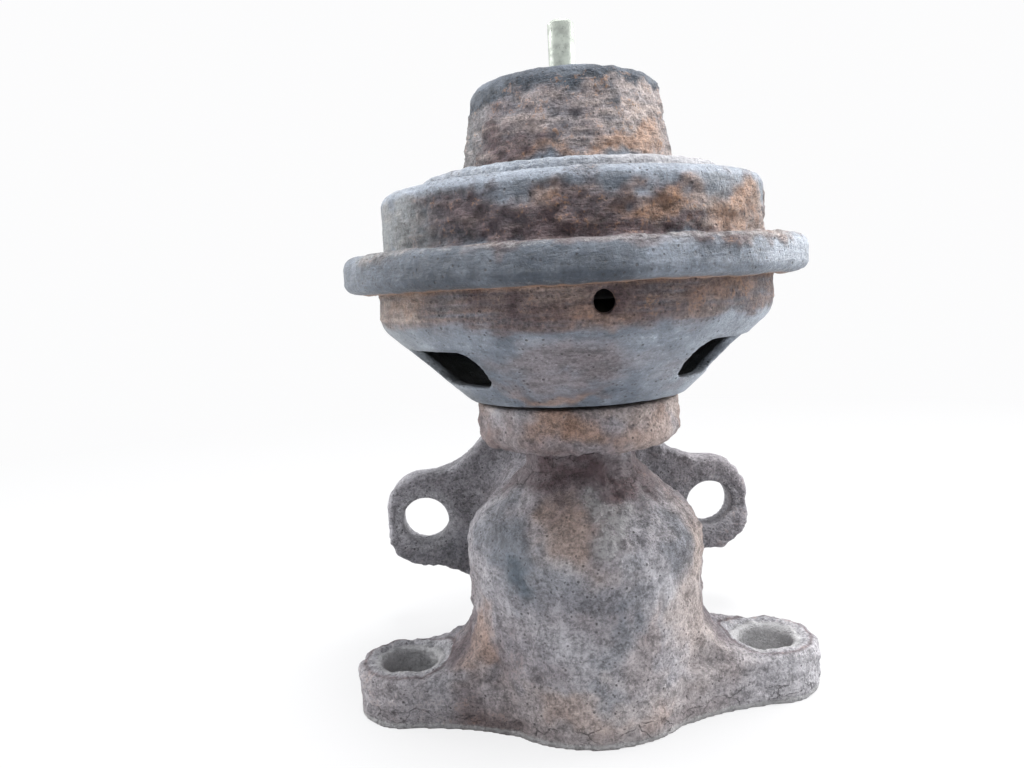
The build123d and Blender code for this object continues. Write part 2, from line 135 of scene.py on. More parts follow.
def ease(value, low, high):
    """A smooth step from 0 at low to 1 at high, or the other way round when high is the smaller."""
    t = np.clip((value - low) / (high - low), 0, 1)
    return t * t * (3 - 2 * t)


def band(value, low, high, soft):
    """1 between low and high, with soft edges."""
    return ease(value, low - soft, low + soft) * ease(value, high + soft, high - soft)


def around(points):
    """Each point's angle about the stem in degrees, 0 at the front and positive to the right."""
    return np.degrees(np.arctan2(points[:, 0], -points[:, 1]))


def patch(points, angle, height, half_angle, half_height):
    """A soft oval patch on the outside, 1 in the middle and 0 at its edge."""
    turn = (around(points) - angle + 180) % 360 - 180
    away = np.hypot(turn / half_angle, (points[:, 2] - height) / half_height)
    return ease(away, 1.0, 0.35)


def sector(points, angle, half, soft):
    """1 within half degrees of an angle about the stem, fading over soft degrees on each side."""
    turn = np.abs((around(points) - angle + 180) % 360 - 180)
    return ease(turn, half + soft, half - soft)


def out_from_axis(points):
    return np.hypot(points[:, 0], points[:, 1])


def streaks(points, seed, long=5.0, short=0.6):
    """Noise drawn out round the stem, as rust lies in the turning or pressing marks of a spun part."""
    turned = np.stack([np.radians(around(points)) * out_from_axis(points) / long, points[:, 2] / short], 1)
    return fractal(np.column_stack([turned, np.zeros(len(points))]), 1.0, seed, octaves=3)


# ---------------------------------------------------------------- pieces remade with worn surfaces
def arrays(mesh):
    """A mesh's points in millimetres and its unit normals."""
    place = np.empty(3 * len(mesh.vertices), np.float32)
    mesh.vertices.foreach_get("co", place)
    normal = np.empty(3 * len(mesh.vertices), np.float32)
    mesh.vertex_normals.foreach_get("vector", normal)
    return place.reshape(-1, 3).astype(float) / MM, normal.reshape(-1, 3).astype(float)


def remeshed(node, voxel):
    """A close, even mesh of a CAD node: voxels, smoothed, then laid back on the CAD surface."""
    source = frame["nodes"][node]
    piece = bpy.data.objects.new("draft_" + node, source.data.copy())
    bpy.context.scene.collection.objects.link(piece)
    remesh = piece.modifiers.new("remesh", "REMESH")
    remesh.mode, remesh.voxel_size, remesh.use_smooth_shade = "VOXEL", voxel * MM, True
    smooth = piece.modifiers.new("smooth", "SMOOTH")
    smooth.factor, smooth.iterations = 0.5, 4
    lay = piece.modifiers.new("lay", "SHRINKWRAP")
    lay.target, lay.wrap_method = source, "NEAREST_SURFACEPOINT"
    settle = piece.modifiers.new("settle", "SMOOTH")
    settle.factor, settle.iterations = 0.5, 1
    graph = bpy.context.evaluated_depsgraph_get()
    mesh = bpy.data.meshes.new_from_object(piece.evaluated_get(graph))
    bpy.data.objects.remove(piece)
    for layer in list(mesh.attributes):
        if layer.name in ("custom_normal", "UVMap"):
            mesh.attributes.remove(layer)
    return mesh


def worn_piece(node, body, slot, voxel, wear):
    """Replaces a CAD node by its remeshed copy, moved and masked by wear(points, normals)."""
    mesh = remeshed(node, voxel)
    points, normals = arrays(mesh)
    shift, masks = wear(points, normals)
    mesh.vertices.foreach_set("co", ((points + shift) * MM).astype(np.float32).ravel())
    for name, values in masks.items():
        if values.ndim == 2:
            layer = mesh.attributes.new(name, "FLOAT_COLOR", "POINT")
            solid = np.column_stack([np.clip(values, 0, 1), np.ones(len(values))])
            layer.data.foreach_set("color", solid.astype(np.float32).ravel())
        else:
            layer = mesh.attributes.new(name, "FLOAT", "POINT")
            layer.data.foreach_set("value", np.clip(values, 0, 1).astype(np.float32))
    mesh.polygons.foreach_set("use_smooth", [True] * len(mesh.polygons))
    mesh.update()
    mesh.materials.clear()
    mesh.materials.append(MATERIALS[slot])
    piece = bpy.data.objects.new("worn_" + node, mesh)
    bpy.context.scene.collection.objects.link(piece)
    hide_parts(node)
    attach(piece, body)
    return piece


def centre_parted(piece, node, slot, radius):
    """Cuts a round piece at a radius: it keeps its outer part and the inner one is returned, both closed."""
    whole, name, limit = piece.data, piece.name, radius * MM
    for inner in (False, True):
        part = bmesh.new()
        part.from_mesh(whole)
        beyond = [f for f in part.faces if (f.calc_center_median().xy.length > limit) == inner]
        bmesh.ops.delete(part, geom=beyond, context="FACES")
        bmesh.ops.bridge_loops(part, edges=[e for e in part.edges if e.is_boundary])
        bmesh.ops.recalc_face_normals(part, faces=part.faces)
        mesh = bpy.data.meshes.new(name)
        part.to_mesh(mesh)
        part.free()
        mesh.polygons.foreach_set("use_smooth", [True] * len(mesh.polygons))
        mesh.materials.append(MATERIALS[slot])
        if not inner:
            piece.data = mesh
    centre = bpy.data.objects.new(name + "_centre", mesh)
    bpy.context.scene.collection.objects.link(centre)
    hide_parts(node)
    return centre


def total(*terms):
    """Adds weighted patches: each term is a weight and an array."""
    return sum(weight * values for weight, values in terms)


def patches(points, *ovals):
    """Several soft patches together: each is a weight, an angle, a height and the two half sizes."""
    return sum(weight * patch(points, *place) for weight, *place in ovals)


def warped(points, seed):
    """The points pushed about by noise, so that patches laid on them get ragged outlines."""
    result = points.copy()
    for axis in range(3):
        result[:, axis] += 6.0 * (value_noise(points, 6.0, seed + axis) - 0.5)
        result[:, axis] += 3.0 * (value_noise(points, 2.0, seed + 5 + axis) - 0.5)
        result[:, axis] += 1.2 * (value_noise(points, 0.9, seed + 9 + axis) - 0.5)
    return result


def painted(base, *layers):
    """Lays colours over one another: each layer is a colour and how much of it each point takes."""
    tint = base.copy()
    for colour, share in layers:
        tint += (np.array(colour) - tint) * np.clip(share, 0, 1)[:, None]
    return tint


# ---------------------------------------------------------------- shader helpers
def map_range(tree, low, high, bottom, top):
    """A node that maps low to high onto bottom to top."""
    node = tree.nodes.new("ShaderNodeMapRange")
    for key, number in (("From Min", low), ("From Max", high), ("To Min", bottom), ("To Max", top)):
        node.inputs[key].default_value = number
    return node


class Shader:
    """Builds one procedural material; every method returns a socket that the next one can take."""

    def __init__(self, name):
        self.material = bpy.data.materials.new(name)
        self.material.use_nodes = True
        self.tree = self.material.node_tree
        self.surface = self.tree.nodes["Principled BSDF"]
        place = self.tree.nodes.new("ShaderNodeTexCoord").outputs["Object"]
        self.place = self.vector("SCALE", place, scale=1 / MM)

    def put(self, socket, value):
        if isinstance(value, bpy.types.NodeSocket):
            self.tree.links.new(value, socket)
        else:
            socket.default_value = value

    def vector(self, operation, a, b=None, scale=None):
        node = self.tree.nodes.new("ShaderNodeVectorMath")
        node.operation = operation
        self.put(node.inputs[0], a)
        if b is not None:
            self.put(node.inputs[1], b)
        if scale is not None:
            self.put(node.inputs["Scale"], scale)
        return node.outputs[0]

    def math(self, operation, a, b=0.0):
        node = self.tree.nodes.new("ShaderNodeMath")
        node.operation = operation
        self.put(node.inputs[0], a)
        self.put(node.inputs[1], b)
        return node.outputs[0]

    def noise(self, size, detail=3.0, roughness=0.55, stretch=(1, 1, 1), shift=0.0):
        """Noise from 0 to 1 whose blobs are about size millimetres across."""
        node = self.tree.nodes.new("ShaderNodeTexNoise")
        place = self.vector("MULTIPLY", self.place, [s / size for s in stretch])
        self.put(node.inputs["Vector"], self.vector("ADD", place, (shift, shift, shift)))
        node.inputs["Scale"].default_value = 1.0
        node.inputs["Detail"].default_value = detail
        node.inputs["Roughness"].default_value = roughness
        return node.outputs["Fac"]

    def cells(self, size):
        """Distance to the nearest of a lattice of points about size millimetres apart."""
        node = self.tree.nodes.new("ShaderNodeTexVoronoi")
        self.put(node.inputs["Vector"], self.place)
        node.inputs["Scale"].default_value = 1 / size
        return node.outputs["Distance"]

    def cracks(self, size, width, warp):
        """Thin broken lines between cells about size millimetres across."""
        ragged = self.tree.nodes.new("ShaderNodeTexNoise")
        self.put(ragged.inputs["Vector"], self.place)
        ragged.inputs["Scale"].default_value = 2.2 / size
        ragged.inputs["Detail"].default_value = 4.0
        flat = self.vector("MULTIPLY", self.place, (1.0, 1.0, 2.4))
        pushed = self.vector("ADD", flat, self.vector("SCALE", ragged.outputs["Color"], scale=warp))
        node = self.tree.nodes.new("ShaderNodeTexVoronoi")
        node.feature = "DISTANCE_TO_EDGE"
        self.put(node.inputs["Vector"], pushed)
        node.inputs["Scale"].default_value = 1 / size
        return self.step(node.outputs["Distance"], width, 0.0)

    def mask(self, name, output="Fac"):
        """One of the masks or colours worked out on the mesh."""
        node = self.tree.nodes.new("ShaderNodeAttribute")
        node.attribute_name = name
        return node.outputs[output]

    def blend(self, *shares):
        """A weighted sum of sockets, given as (weight, socket) pairs."""
        total = None
        for weight, socket in shares:
            part = self.math("MULTIPLY", socket, weight)
            total = part if total is None else self.math("ADD", total, part)
        return total

    def step(self, value, low, high, bottom=0.0, top=1.0):
        node = map_range(self.tree, low, high, bottom, top)
        node.interpolation_type = "SMOOTHSTEP"
        self.put(node.inputs["Value"], value)
        return node.outputs["Result"]

    def mix(self, share, a, b):
        node = self.tree.nodes.new("ShaderNodeMix")
        node.data_type = "RGBA"
        self.put(node.inputs["Factor"], share)
        self.put(node.inputs["A"], (*a, 1) if isinstance(a, tuple) else a)
        self.put(node.inputs["B"], (*b, 1) if isinstance(b, tuple) else b)
        return node.outputs["Result"]

    def broken(self, mask, noise, edge=0.12, spread=0.6):
        """A mesh mask with its edge broken up by fine noise."""
        shifted = self.math("MULTIPLY", self.math("SUBTRACT", noise, 0.5), spread)
        total = self.math("ADD", mask, shifted)
        return self.step(total, 0.5 - edge, 0.5 + edge)

    def bump(self, height, depth, after=None, strength=1.0):
        node = self.tree.nodes.new("ShaderNodeBump")
        node.inputs["Strength"].default_value = strength
        node.inputs["Distance"].default_value = depth * MM
        self.put(node.inputs["Height"], height)
        if after is not None:
            self.put(node.inputs["Normal"], after)
        return node.outputs["Normal"]

    def finish(self, colour, roughness, normal, metallic=0.0, specular=0.5):
        self.put(self.surface.inputs["Base Color"], colour)
        self.put(self.surface.inputs["Roughness"], roughness)
        self.put(self.surface.inputs["Normal"], normal)
        self.surface.inputs["Metallic"].default_value = metallic
        self.surface.inputs["Specular IOR Level"].default_value = specular
        return self.material


# ---------------------------------------------------------------- materials
# MINERAL_AND_HIGHLIGHT is the pale crust colour; the pale mask also lays it as painted highlight on upward
# faces of the housing and as painted light in the bolt holes.
MINERAL_AND_HIGHLIGHT = (0.560, 0.550, 0.550)
BLOOM = (0.400, 0.220, 0.115)
PIT = (0.026, 0.020, 0.022)
# SOOT_AND_SHADE: soot in the casting's gas passages, and painted shade inside the shells.
SOOT_AND_SHADE = (0.022, 0.020, 0.022)


def weathered(name, smooth, rough, grain, drawn_share, bloomed):
    """Old paint, scale and rust over metal.

    The mesh carries a broad tint, with painted highlight and painted shade in it on some pieces, and the
    masks rust, pale (mineral crust, partly painted highlight), cracked and soot_and_shade (soot, and painted
    shade inside the shells). The nodes add what is finer than the mesh: speckle, drawn-out streaks, orange
    bloom in the rust, pinholes, cracks, crust and relief.
    """
    s = Shader(name)
    tint = s.mask("tint", "Color")
    rust = s.mask("rust")
    fine = s.noise(1.15, detail=6, roughness=0.74)
    grit = s.noise(0.46, detail=4, roughness=0.70, shift=5.3)
    drawn = s.noise(1.6, detail=5, roughness=0.68, stretch=(0.45, 0.45, 2.8), shift=3.1)
    flake = s.noise(2.2, detail=6, roughness=0.76, shift=7.7)
    cells = s.cells(0.85)
    cracked = s.mask("cracked")
    where = s.noise(5.0, detail=2, shift=2.3)
    opened = s.step(s.blend((1.0, cracked), (1.6, where)), 1.28, 1.50)
    cracks = s.math("MULTIPLY", s.cracks(5.0, 0.028, 3.4), opened)
    even, lined = 0.40 - 0.40 * drawn_share, 0.40 * drawn_share
    speckle = s.blend((even, fine), (lined, drawn), (0.34, grit), (0.26, flake))
    mottle = s.math("MULTIPLY", s.step(speckle, 0.40, 0.60, -0.52, 0.54), s.step(rust, 0.1, 0.6, 0.55, 1.0))
    colour = s.vector("SCALE", tint, scale=s.math("ADD", mottle, 1.0))
    spots = s.step(s.blend((0.6, flake), (0.4, grit)), 0.53, 0.62)
    bloom = s.math("MULTIPLY", spots, s.step(rust, 0.5, 1.0, 0.0, bloomed))
    colour = s.mix(bloom, colour, BLOOM)
    flecks = s.step(s.noise(0.55, detail=3, roughness=0.7, shift=11.9), 0.58, 0.68, 0.0, 0.55)
    colour = s.mix(flecks, colour, s.vector("SCALE", tint, scale=1.9))
    pinholes = s.math("MULTIPLY", s.step(cells, 0.30, 0.14), s.step(fine, 0.44, 0.58))
    colour = s.mix(s.math("MULTIPLY", pinholes, 0.75), colour, PIT)
    colour = s.mix(s.math("MULTIPLY", cracks, 0.55), colour, PIT)
    pale = s.broken(s.mask("pale"), s.blend((0.35, grit), (0.65, fine)), edge=0.30, spread=1.7)
    colour = s.mix(s.math("MULTIPLY", pale, 0.75), colour, MINERAL_AND_HIGHLIGHT)
    colour = s.mix(s.mask("soot_and_shade"), colour, SOOT_AND_SHADE)
    roughness = s.math("ADD", s.step(rust, 0, 1, smooth, rough), s.step(grit, 0.3, 0.7, -0.10, 0.10))
    layers = s.blend((0.7, fine), (0.7, flake), (0.9 * drawn_share, drawn), (0.25, grit), (0.25, pale))
    crust = s.math("MULTIPLY", layers, s.step(rust, 0, 1, 0.45, 1.0))
    normal = s.bump(crust, 1.10 * grain, strength=1.0)
    holes = s.math("ADD", s.math("MULTIPLY", pinholes, -0.6), s.math("MULTIPLY", cracks, -1.0))
    normal = s.bump(holes, 0.25 * grain, after=normal)
    return s.finish(colour, roughness, normal, specular=0.45)


def plain_metal(name, colour, stain, roughness, metallic=0.9, grain=0.6):
    """Bare or plated metal with stains, dull spots and a fine grain."""
    s = Shader(name)
    broad = s.noise(4.0, detail=4)
    fine = s.noise(0.35, detail=3)
    shade = s.mix(s.step(broad, 0.38, 0.66), colour, stain)
    shade = s.mix(s.step(fine, 0.56, 0.72, 0.0, 0.55), shade, stain)
    rough = s.step(broad, 0.3, 0.7, roughness - 0.08, roughness + 0.12)
    return s.finish(shade, rough, s.bump(fine, 0.02 * grain, strength=0.5), metallic=metallic)


def soft_material(name, colour, worn, roughness, sheen):
    """Rubber, graphite or gasket sheet: dark, with dust in its grain."""
    s = Shader(name)
    broad = s.noise(2.5, detail=4)
    grain = s.noise(0.18, detail=2)
    shade = s.mix(s.step(broad, 0.35, 0.7), colour, worn)
    s.surface.inputs["Sheen Weight"].default_value = sheen
    rough = s.step(broad, 0.3, 0.7, roughness - 0.06, roughness + 0.08)
    return s.finish(shade, rough, s.bump(grain, 0.015, strength=0.6))


def zinc_nipple():
    """Dull zinc with dark specks and a greenish cast."""
    s = Shader("nipple_zinc")
    broad = s.noise(1.8, detail=4)
    grit = s.noise(0.28, detail=3, roughness=0.7)
    shade = s.mix(s.step(broad, 0.35, 0.65), (0.42, 0.45, 0.40), (0.26, 0.28, 0.25))
    shade = s.mix(s.step(grit, 0.62, 0.68), shade, (0.05, 0.055, 0.05))
    rough = s.step(broad, 0.3, 0.7, 0.38, 0.6)
    return s.finish(shade, rough, s.bump(grit, 0.03, strength=0.6), metallic=0.35)


MATERIALS = {
    "cast_iron": weathered("cast_iron", smooth=0.55, rough=0.74, grain=1.25, drawn_share=0.15, bloomed=0.30),
    "housing_paint": weathered(
        "housing_paint", smooth=0.46, rough=0.74, grain=1.20, drawn_share=0.6, bloomed=0.62
    ),
    "nipple_zinc": zinc_nipple(),
    "plated_steel": plain_metal("plated_steel", (0.16, 0.15, 0.13), (0.07, 0.06, 0.05), 0.5),
    "stem_steel": plain_metal("stem_steel", (0.30, 0.28, 0.26), (0.10, 0.085, 0.07), 0.35),
    "seat_steel": plain_metal("seat_steel", (0.20, 0.18, 0.165), (0.06, 0.05, 0.045), 0.5),
    "spring_steel": plain_metal("spring_steel", (0.20, 0.20, 0.21), (0.09, 0.085, 0.085), 0.34),
    "bush_bronze": plain_metal("bush_bronze", (0.38, 0.24, 0.11), (0.16, 0.10, 0.05), 0.42),
    "diaphragm_rubber": soft_material(
        "diaphragm_rubber", (0.016, 0.016, 0.017), (0.04, 0.038, 0.036), 0.7, 0.1
    ),
    "seal_graphite": soft_material("seal_graphite", (0.02, 0.02, 0.021), (0.05, 0.05, 0.05), 0.55, 0.0),
    "gasket_sheet": soft_material("gasket_sheet", (0.022, 0.02, 0.019), (0.05, 0.042, 0.036), 0.85, 0.05),
}

for row in frame["record"]["subparts"]:
    node = frame["nodes"][row["node"]]
    node.data.materials.clear()
    node.data.materials.append(MATERIALS[row["material_slot"]])


# ---------------------------------------------------------------- how each weathered piece is worn
GREY = (0.262, 0.246, 0.268)
GREY_PALE = (0.420, 0.410, 0.432)
BROWN = (0.160, 0.106, 0.096)
TAN = (0.410, 0.335, 0.300)
TEAL = (0.092, 0.112, 0.138)
PLUM = (0.096, 0.064, 0.070)
ORANGE = (0.370, 0.205, 0.120)
PAINT = (0.128, 0.150, 0.185)
# PAINT_DARK_AND_SHADE: dark paint, also used as painted shade at the front left of the ring.
PAINT_DARK_AND_SHADE = (0.054, 0.066, 0.086)
# PAINT_PALE_AND_HIGHLIGHT: pale paint, also used as painted highlight on the upward faces and sides of the
# housing.
PAINT_PALE_AND_HIGHLIGHT = (0.330, 0.365, 0.420)
# SIDE_HIGHLIGHT: a pale grey laid as painted highlight on the sides of the round pieces.
SIDE_HIGHLIGHT = (0.290, 0.300, 0.290)
# BORE_CRUST_AND_LIGHT: pale crust colour, laid in the bolt holes also as painted light.
BORE_CRUST_AND_LIGHT = (0.620, 0.610, 0.630)

# Where things are on the part, in millimetres and degrees: bolt holes, side duct and drain hole.
BASE_BOLT_X, SIDE_BOLT_X, DUCT_HEIGHT = 29.4, 28.0, 23.2
DRAIN_ANGLE, DRAIN_HEIGHT = 3.4, 65.0
# Each bolt hole's centre and the number of the axis that it runs along.
BASE_HOLES = [(side * BASE_BOLT_X, 0.0, 0.0, 2) for side in (-1, 1)]
SIDE_HOLES = [(side * SIDE_BOLT_X, 0.0, DUCT_HEIGHT, 1) for side in (-1, 1)]

# How far from the machined places the casting is worn: not at all at the first number, fully at the second.
BASE_FACE_EDGE = (0.1, 1.2)
SIDE_FACE_EDGE = (32.4, 31.2)
COLLAR_TOP_EDGE = (49.6, 48.8)
BOLT_BORE_EDGE = (4.55, 5.0)
# Radii inside the casting, each with some slack, and the heights that the chamber lies between.
GUIDE_BORE, SEAT_POCKET, CHAMBER_BORE, DUCT_BORE = 6.2, 12.0, 13.85, 10.3
CHAMBER_FLOOR, CHAMBER_ROOF = 8, 33.5


def casting_wear(p, n):
    """Sand-cast iron: lumpy, pitted and scaled outside, left true on the machined faces and in the bores. Its
    tint also carries painted light on the base ears and in the bolt holes.
    """
    r = out_from_axis(p)
    from_duct = np.hypot(p[:, 0], p[:, 2] - DUCT_HEIGHT)
    big = fractal(p, 7.0, 11)
    medium = fractal(p, 1.8, 23, octaves=3)
    dents = pits(p, 2.4, 0.75, 0.30, 31)
    scabs = pits(p, 3.6, 1.1, 0.22, 47)
    true = ease(p[:, 2], *BASE_FACE_EDGE) * ease(p[:, 1], *SIDE_FACE_EDGE)
    for x, y, z, axis in BASE_HOLES + SIDE_HOLES:
        other, centre = (1, y) if axis == 2 else (2, z)
        true *= ease(np.hypot(p[:, 0] - x, p[:, other] - centre), *BOLT_BORE_EDGE)
    true *= 1 - (r < GUIDE_BORE) * ease(p[:, 2], 32.0, 33.0)
    true *= 1 - (r < SEAT_POCKET) * ease(p[:, 2], 11.0, 10.2)
    true *= ease(p[:, 2], *COLLAR_TOP_EDGE)
    ears = ease(p[:, 2], 9.5, 8.2) * ease(np.abs(p[:, 0]), 20, 24)
    height = 0.60 * (big - 0.5) + 1.15 * (medium - 0.5) - 0.42 * dents + 0.22 * scabs
    height += 0.35 * ears * (fractal(p, 3.0, 53, octaves=2) - 0.5)
    shift = n * (height * true)[:, None]

    q = warped(p, 201)
    big, blotch = fractal(p, 11.0, 211) - 0.5, fractal(p, 4.5, 221) - 0.5
    foot = ease(q[:, 2], 9.8, 8.0)
    collar = ease(p[:, 2], 42.6, 43.6)
    plate = ease(p[:, 1], 23.5, 25.5)
    outside, ear_top, above_base = r > 13, p[:, 2] > 6.0, p[:, 2] > 1
    neck = band(q[:, 2], 36.8, 44.0, 2.6) * ease(r, 18.0, 12.0)
    bores = [np.hypot(p[:, 0] - side * BASE_BOLT_X, p[:, 1]) for side in (-1, 1)]
    seats = [np.hypot(p[:, 0] - side * SIDE_BOLT_X, p[:, 2] - DUCT_HEIGHT) for side in (-1, 1)]
    tint = painted(
        np.full((len(p), 3), GREY),
        (BROWN, 0.16 + 1.9 * big + 0.9 * blotch),
        (GREY_PALE, 0.12 - 2.0 * big + 1.0 * blotch),
        (TAN, patches(q, (0.65, 58, 19, 30, 15), (0.35, 66, 30, 20, 8))),
        (BROWN, 0.45 * patch(q, -8, 33, 36, 6)),
        (PLUM, 0.42 * patch(q, -6, 36.0, 60, 3.4)),
        (TAN, 0.42 * patch(q, -12, 31.0, 24, 6)),
        (ORANGE, 0.22 * patch(q, -12, 32.0, 18, 5)),
        (GREY_PALE, patches(q, (0.35, -74, 25, 20, 13), (0.35, 20, 34, 22, 5))),
        (TEAL, patches(q, (0.72, -44, 28, 22, 8), (0.42, -26, 24.0, 26, 5), (0.50, -66, 33, 18, 5))),
        (TEAL, patches(q, (0.36, 4, 24.5, 22, 4.0), (0.62, 5, 13.5, 7, 13), (0.50, 42, 30, 18, 7))),
        (TEAL, patches(q, (0.75, 150, 24, 34, 12), (0.65, -128, 14, 30, 10))),
        (ORANGE, patches(q, (0.50, -63, 15, 13, 8), (0.22, 24, 14, 12, 12), (0.40, 118, 30, 36, 9))),
        (BROWN, collar * (0.45 + 1.9 * blotch)),
        (ORANGE, patches(q, (0.50, -14, 46.5, 30, 3.4), (0.35, 34, 46, 24, 3.2), (0.45, -150, 46, 50, 4))),
        (TAN, collar * (0.35 * sector(q, 58, 30, 20) + 0.40 * ease(q[:, 2], 48.4, 49.6))),
        (PLUM, 0.76 * neck + 0.35 * patch(q, 0, 37.6, 80, 2.6)),
        (PLUM, foot * (0.9 * blotch - 0.04)),
        (GREY_PALE, 0.44 * patch(q, 4, 9, 50, 12) + 0.25 * foot * sector(q, 0, 40, 20)),
        (TAN, 0.35 * foot * sector(q, 5, 60, 20)),
        (ORANGE, patches(q, (0.25, -10, 5.0, 30, 4), (0.25, 26, 4.0, 16, 3))),
        (PLUM, patches(q, (0.80, -80, 12.5, 20, 5.5), (0.50, 82, 12.5, 15, 4.5))),
        (PLUM, 0.26 * band(p[:, 2], 1.2, 2.8, 0.8) * outside + 0.12 * foot * sector(q, -45, 30, 18)),
        # Painted light: the base ears and the right of the foot are made paler in place of fill light from
        # the sides.
        (GREY_PALE, 0.35 * foot * ease(q[:, 0], 20, 34) + 0.48 * ears),
        (PLUM, plate * (0.12 + 1.4 * blotch)),
        (TEAL, plate * 0.18),
        (GREY, plate * 0.45 + plate * 0.35 * ease(q[:, 0], 16, 30)),
        (GREY_PALE, 0.22 * plate),
        (GREY_PALE, 0.95 * ease(np.minimum(*bores), 7.2, 6.8) * ear_top),
        (PLUM, 0.85 * band(np.minimum(*bores), 7.1, 7.6, 0.25) * ear_top),
        # Pale crust in the bolt holes, made paler still as painted light, since the holes get little light.
        (BORE_CRUST_AND_LIGHT, 1.00 * ease(bores[1], 6.2, 5.2) + 0.80 * ease(bores[0], 6.2, 5.2)),
        (GREY_PALE, 0.80 * ease(seats[0], 7.0, 5.2) * plate + 0.45 * ease(seats[1], 6.6, 5.2) * plate),
        (GREY_PALE, 0.75 * ease(p[:, 1], 31.6, 32.4)),
    )
    rust = 0.66 + 1.2 * big - 0.3 * patch(q, -46, 29, 22, 9) - 0.5 * ease(p[:, 1], 31.4, 32.3)
    crust = band(p[:, 2], 0.1, 1.1, 0.35) * outside
    pale = total(
        (0.50, patch(q, 12, 33.5, 14, 4.0)),
        (0.12, patch(q, 60, 20, 20, 12)),
        (0.72, crust),
        (0.20, band(p[:, 2], 47.8, 49.6, 0.8) * (r > 14)),
        # Pale crust in the bolt holes, partly painted light.
        (0.90, ease(bores[1], 6.4, 5.2) * above_base),
        (0.70, ease(bores[0], 6.4, 5.2) * above_base),
    )
    cracked = total((0.62, neck), (0.72, band(p[:, 2], 0.6, 3.6, 0.8) * outside), (0.35, plate))
    chamber = (r < CHAMBER_BORE) * (p[:, 2] > CHAMBER_FLOOR) * (p[:, 2] < CHAMBER_ROOF)
    port = (from_duct < DUCT_BORE) * (p[:, 1] > 5)
    inlet = (r < SEAT_POCKET) * (p[:, 2] < 9)
    soot_and_shade = np.maximum(0.85 * chamber, np.maximum(0.8 * port, 0.4 * inlet))
    return shift, {"tint": tint, "rust": rust, "pale": pale, "cracked": cracked, "soot_and_shade": soot_and_shade}


# How far the skin drops for each millimetre to the front, and how uneven the crimp is, in millimetres.
FORWARD_LEAN = 0.014
CRIMP_RIPPLE = 0.30


def skewed(p, n, outer):
    """The crimped assembly leans slightly to the front, and its rim was never quite true."""
    lean = FORWARD_LEAN * p[:, 1] * ease(p[:, 2], 66.0, 68.0)
    ripple = value_noise(np.column_stack([around(p) / 16, 0 * n[:, 0], 0 * n[:, 0]]), 1, 7) - 0.5
    crimp = ease(p[:, 2], 71.5, 67.5) * ease(out_from_axis(p), 30.6, 31.5)
    return (lean - CRIMP_RIPPLE * crimp * ripple) * outer


